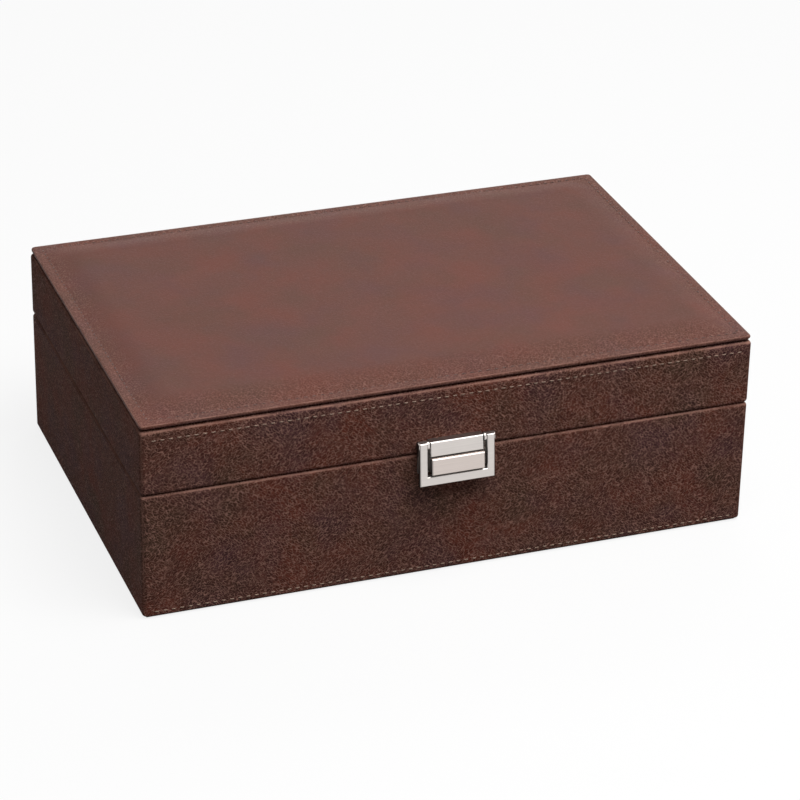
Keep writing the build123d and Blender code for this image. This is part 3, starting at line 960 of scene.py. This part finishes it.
def pillow_cover(half, sizes):
    """The cut cover: a sleeve that narrows to both ends, two end pieces, and the points of their seams."""
    vertices, faces, seam = [], [], []
    around = sizes.around
    end_rings = (0.84, 0.66, 0.46, 0.24)

    def add_ring(x, scale_y, scale_z):
        first = len(vertices)
        for point in range(around):
            y, z = outline_point(point / around, half.y, half.z, sizes.corner)
            vertices.append((x, y * scale_y, z * scale_z))
        return first

    rings = []
    for station in range(sizes.stations + 1):
        part = 2 * station / sizes.stations - 1
        narrow = sizes.draw_in * abs(part) ** 4
        rings.append(add_ring(half.x * part, 1 - narrow / half.y, 1 - narrow / half.z))
    for low, high in zip(rings, rings[1:]):
        join_rings(faces, high, low, around)
    seam += list(range(rings[0], rings[0] + around))
    seam += list(range(rings[-1], rings[-1] + around))
    for start, sign in ((rings[0], -1), (rings[-1], 1)):
        last = start
        for scale in end_rings:
            shrink_y = scale * (1 - sizes.draw_in / half.y)
            shrink_z = scale * (1 - sizes.draw_in / half.z)
            ring = add_ring(sign * half.x, shrink_y, shrink_z)
            pair = (last, ring) if sign < 0 else (ring, last)
            join_rings(faces, *pair, around)
            last = ring
        middle = len(vertices)
        vertices.append((sign * half.x, 0.0, 0.0))
        for point in range(around):
            after = (point + 1) % around
            corners = (last + point, last + after, middle)
            faces.append(corners if sign < 0 else tuple(reversed(corners)))
    return vertices, faces, seam


def stuff(piece, seam, pressure, most):
    """Stuffs a cover by a cloth simulation, its seams held, and caps how far a point moves."""
    rest = [vertex.co.copy() for vertex in piece.data.vertices]
    held = piece.vertex_groups.new(name="seam")
    held.add(seam, 1.0, "REPLACE")
    cloth = piece.modifiers.new("Stuffing", "CLOTH")
    cloth.settings.use_pressure = True
    cloth.settings.uniform_pressure_force = pressure
    cloth.settings.vertex_group_mass = held.name
    cloth.settings.effector_weights.gravity = 0.0
    cloth.settings.quality = 6
    cloth.settings.tension_stiffness = 30.0
    cloth.settings.compression_stiffness = 30.0
    cloth.settings.bending_stiffness = 0.4
    steps = 20
    cloth.point_cache.frame_start = 1
    cloth.point_cache.frame_end = steps
    scene = bpy.context.scene
    for frame_number in range(1, steps + 1):
        scene.frame_set(frame_number)
    shown = piece.evaluated_get(bpy.context.evaluated_depsgraph_get())
    stuffed = [vertex.co.copy() for vertex in shown.data.vertices]
    piece.modifiers.remove(cloth)
    piece.vertex_groups.clear()
    scene.frame_set(1)
    for vertex, before, after in zip(piece.data.vertices, rest, stuffed):
        move = after - before
        if move.length > most:
            move *= most / move.length
        vertex.co = before + move
    piece.data.update()


class WATCHBOX_OT_pillows(Operator):
    """Velvet pillows, stuffed by simulation, one in each compartment"""

    bl_idname = "watch_box.pillows"
    bl_label = "Pillows"

    def execute(self, context):
        sizes = context.scene.watch_box_pillow
        velvet = velvet_material("velvet_pillow", context.scene.watch_box_velvet.pillow)
        first_low, first_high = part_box("watch_pillow_01")
        slack = Vector((sizes.slack, sizes.slack, sizes.slack))
        half = (first_high - first_low) / 2 - slack
        vertices, faces, seam = pillow_cover(half, sizes)
        for number in range(1, PILLOW_COUNT + 1):
            low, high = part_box(f"watch_pillow_{number:02d}")
            pillow = make_piece(
                f"pillow_{number:02d}", vertices, faces, velvet, f"pillow_{number:02d}",
                (low + high) / 2,
            )
            if number == 1:
                stuff(pillow, seam, pressure=4.0, most=sizes.swell)
                vertices = [vertex.co.copy() for vertex in pillow.data.vertices]
            smoother = pillow.modifiers.new("Smooth cover", "SUBSURF")
            smoother.levels = 1
            smoother.render_levels = 1
            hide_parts(f"watch_pillow_{number:02d}")
        return {"FINISHED"}


def screw_mesh(head_radius, shank_radius, long):
    """A countersunk screw with a cross recess, its head up at the origin."""
    sides = 32
    recess_depth, recess_width, recess_reach, recess_turn = 0.00055, 0.00045, 1.25, 0.35
    rim_break, rim_drop = 0.00012, 0.00010
    tip_radius, taper_start = 0.0003, 0.8
    profile = [
        (head_radius - rim_break, 0.0), (head_radius, -rim_drop),
        (shank_radius, shank_radius - head_radius), (shank_radius, -long * taper_start),
        (tip_radius, -long),
    ]
    work = bmesh.new()
    rings = []
    for radius, z in profile:
        rings.append([
            work.verts.new((radius * cos(2 * pi * side / sides), radius * sin(2 * pi * side / sides), z))
            for side in range(sides)
        ])
    for high, low in zip(rings, rings[1:]):
        for side in range(sides):
            after = (side + 1) % sides
            work.faces.new((high[side], low[side], low[after], high[after]))
    work.faces.new(rings[0])
    work.faces.new(list(reversed(rings[-1])))
    screw = in_scene("screw_blank", mesh_from(work, "screw"))
    for turn in (0.0, pi / 2):
        blade = bmesh.new()
        bmesh.ops.create_cube(blade, size=1.0)
        scale = Matrix.Diagonal((head_radius * recess_reach, recess_width, 2 * recess_depth, 1.0))
        turned = Matrix.Rotation(turn + recess_turn, 4, "Z")
        bmesh.ops.transform(blade, matrix=turned @ scale, verts=blade.verts)
        cutter = in_scene("cutter", mesh_from(blade, "cutter"))
        cut = screw.modifiers.new("Recess", "BOOLEAN")
        cut.operation = "DIFFERENCE"
        cut.solver = "EXACT"
        cut.object = cutter
        shown = screw.evaluated_get(bpy.context.evaluated_depsgraph_get())
        cut_mesh = bpy.data.meshes.new_from_object(shown)
        screw.modifiers.remove(cut)
        screw.data = cut_mesh
        bpy.data.objects.remove(cutter)
    finished = screw.data
    bpy.data.objects.remove(screw)
    return finished


class WATCHBOX_OT_hinges(Operator):
    """Hinge leaves, pins and cross-headed screws"""

    bl_idname = "watch_box.hinges"
    bl_label = "Hinges"

    head_radius: length("Head", "Radius of a screw's head", 0.0019)
    shank_radius: length("Shank", "Radius of a screw's shank", 0.0010)

    def execute(self, context):
        look = context.scene.watch_box_metal
        nickel = metal_material("brushed_nickel", look.nickel)
        zinc = metal_material("plated_zinc", look.zinc)
        twist_per_point = 0.37
        for side in ("left", "right"):
            for leaf in ("base", "lid"):
                coat_node(f"hinge_{leaf}_leaf_{side}", nickel)
        coat_node("hinge_pins", nickel)
        for body, facing in {"base": 1, "lid": -1}.items():
            node = f"hinge_{body}_screws"
            joined = bmesh.new()
            for low, high in solid_boxes(node):
                screw = screw_mesh(self.head_radius, self.shank_radius, high.z - low.z)
                middle = (low + high) / 2
                middle.z = high.z if facing > 0 else low.z
                turn = Matrix.Rotation(0.0 if facing > 0 else pi, 4, "X")
                twist = Matrix.Rotation(len(joined.verts) * twist_per_point, 4, "Z")
                screw.transform(Matrix.Translation(middle) @ turn @ twist)
                joined.from_mesh(screw)
            mesh = mesh_from(joined, f"{node}_heads")
            mesh.materials.append(zinc)
            screws = stand(f"{node}_cross_headed", mesh, body)
            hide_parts(node)
        return {"FINISHED"}


class WATCHBOX_OT_clasp(Operator):
    """Bail clasp: plates, block, keeper, bail and pin"""

    bl_idname = "watch_box.clasp"
    bl_label = "Clasp"

    def execute(self, context):
        look = context.scene.watch_box_metal
        nickel = metal_material("brushed_nickel", look.nickel)
        for name in ("clasp_lid_plate", "clasp_base_plate", "clasp_lid_block", "clasp_bail", "clasp_pin"):
            coat_node(name, nickel)
        coat_node("clasp_keeper", metal_material("brushed_champagne", look.champagne))
        for name in ("clasp_base_screws", "clasp_lid_screws"):
            coat_node(name, metal_material("plated_zinc", look.zinc))
        return {"FINISHED"}


def add_area_lamp(name, place_at, aim_at, size, watts):
    """A soft rectangular lamp that looks at a point."""
    lamp = bpy.data.lights.new(name, "AREA")
    lamp.shape = "RECTANGLE"
    lamp.size, lamp.size_y = size
    lamp.energy = watts
    holder = in_scene(name, lamp)
    holder.location = place_at
    holder.rotation_euler = (Vector(aim_at) - Vector(place_at)).to_track_quat("-Z", "Y").to_euler()


def seen_straight(tree):
    """One for what the camera sees directly or in a reflection, and nothing for other light."""
    path = put(tree, "ShaderNodeLightPath").outputs
    mirrored = sums(tree, "MAXIMUM", path["Is Glossy Ray"], path["Is Transmission Ray"])
    return sums(tree, "MAXIMUM", path["Is Camera Ray"], mirrored)


def floor_material(look):
    """White where it is seen, with the object's shadow, and duller as a source of light."""
    material = bpy.data.materials.new("studio_floor")
    tree, surface = blank_tree(material, "ShaderNodeOutputMaterial")
    white = put(tree, "ShaderNodeEmission", Color=(1.0, 1.0, 1.0), Strength=1.0)
    shaded = put(tree, "ShaderNodeBsdfDiffuse", Color=look.floor_colour)
    dull = put(tree, "ShaderNodeBsdfDiffuse", Color=(0.22, 0.22, 0.22))
    lifted = put(tree, "ShaderNodeMixShader", Fac=look.floor_lift)
    tree.links.new(shaded.outputs[0], lifted.inputs[1])
    tree.links.new(white.outputs[0], lifted.inputs[2])
    chosen = put(tree, "ShaderNodeMixShader", Fac=seen_straight(tree))
    tree.links.new(dull.outputs[0], chosen.inputs[1])
    tree.links.new(lifted.outputs[0], chosen.inputs[2])
    tree.links.new(chosen.outputs[0], surface)
    return material


class WATCHBOX_OT_stage(Operator):
    """Camera, lamps, surround and floor"""

    bl_idname = "watch_box.stage"
    bl_label = "Stage"

    def execute(self, context):
        look = context.scene.watch_box_studio
        scene = context.scene
        scene.view_settings.view_transform = "Standard"

        lens = bpy.data.cameras.new("camera")
        lens.lens = look.lens
        lens.clip_start = 0.05
        camera = in_scene("camera", lens)
        heading = Matrix.Rotation(-look.camera_turn, 4, "Z")
        tilt = Matrix.Rotation(pi / 2 - look.camera_tilt, 4, "X")
        lean = Matrix.Rotation(look.camera_roll, 4, "Z")
        camera.matrix_world = Matrix.Translation(look.camera_place) @ heading @ tilt @ lean
        scene.camera = camera

        add_area_lamp(
            "top_lamp", place_at=(0.30, -0.55, 1.45), aim_at=(0.0, 0.0, 0.05), size=(1.1, 1.1),
            watts=look.top_lamp,
        )
        add_area_lamp(
            "back_lamp", place_at=(0.45, 1.15, 1.10), aim_at=(0.0, 0.0, 0.08), size=(1.4, 0.5),
            watts=look.back_lamp,
        )

        world = bpy.data.worlds.new("surround")
        scene.world = world
        tree, surface = blank_tree(world, "ShaderNodeOutputWorld")
        strength = stretch(tree, seen_straight(tree), 0.0, 1.0, look.surround, 1.0)
        sky = put(tree, "ShaderNodeBackground", Color=(1.0, 1.0, 1.0), Strength=strength)
        tree.links.new(sky.outputs[0], surface)

        reach = 6.0
        mesh = bpy.data.meshes.new("studio_floor")
        signs = ((-1, -1), (1, -1), (1, 1), (-1, 1))
        corners = [(reach * sign_x, reach * sign_y, 0.0) for sign_x, sign_y in signs]
        mesh.from_pydata(corners, [], [(0, 1, 2, 3)])
        mesh.materials.append(floor_material(look))
        floor = in_scene("studio_floor", mesh)
        return {"FINISHED"}


PIECES = (
    WATCHBOX_OT_case_leather,
    WATCHBOX_OT_boards,
    WATCHBOX_OT_top_panel,
    WATCHBOX_OT_front_stitches,
    WATCHBOX_OT_linings,
    WATCHBOX_OT_ceiling_pad,
    WATCHBOX_OT_pillows,
    WATCHBOX_OT_hinges,
    WATCHBOX_OT_clasp,
    WATCHBOX_OT_stage,
)

SETTINGS = {
    "watch_box_studio": StudioLook,
    "watch_box_leather": LeatherLook,
    "watch_box_panel": PanelSizes,
    "watch_box_thread": ThreadSizes,
    "watch_box_pillow": PillowSizes,
    "watch_box_velvet": VelvetLook,
    "watch_box_metal": MetalLook,
}


class WATCHBOX_PT_tools(Panel):
    """Pieces and settings of the watch box"""

    bl_idname = "WATCHBOX_PT_tools"
    bl_label = "Watch Box"
    bl_space_type = "VIEW_3D"
    bl_region_type = "UI"
    bl_category = "Watch Box"

    def draw(self, context):
        for piece in PIECES:
            self.layout.operator(piece.bl_idname)
        for name, group in SETTINGS.items():
            box = self.layout.box()
            box.label(text=group.__doc__)
            settings = getattr(context.scene, name)
            for field in group.__annotations__:
                box.prop(settings, field)


CLASSES = (*SETTINGS.values(), *PIECES, WATCHBOX_PT_tools)


def register():
    for kind in CLASSES:
        bpy.utils.register_class(kind)
    for name, group in SETTINGS.items():
        setattr(bpy.types.Scene, name, PointerProperty(type=group))


def unregister():
    for name in SETTINGS:
        delattr(bpy.types.Scene, name)
    for kind in reversed(CLASSES):
        bpy.utils.unregister_class(kind)


def main():
    register()
    for piece in PIECES:
        family, action = piece.bl_idname.split(".")
        getattr(getattr(bpy.ops, family), action)()


if __name__ == "__main__":
    main()
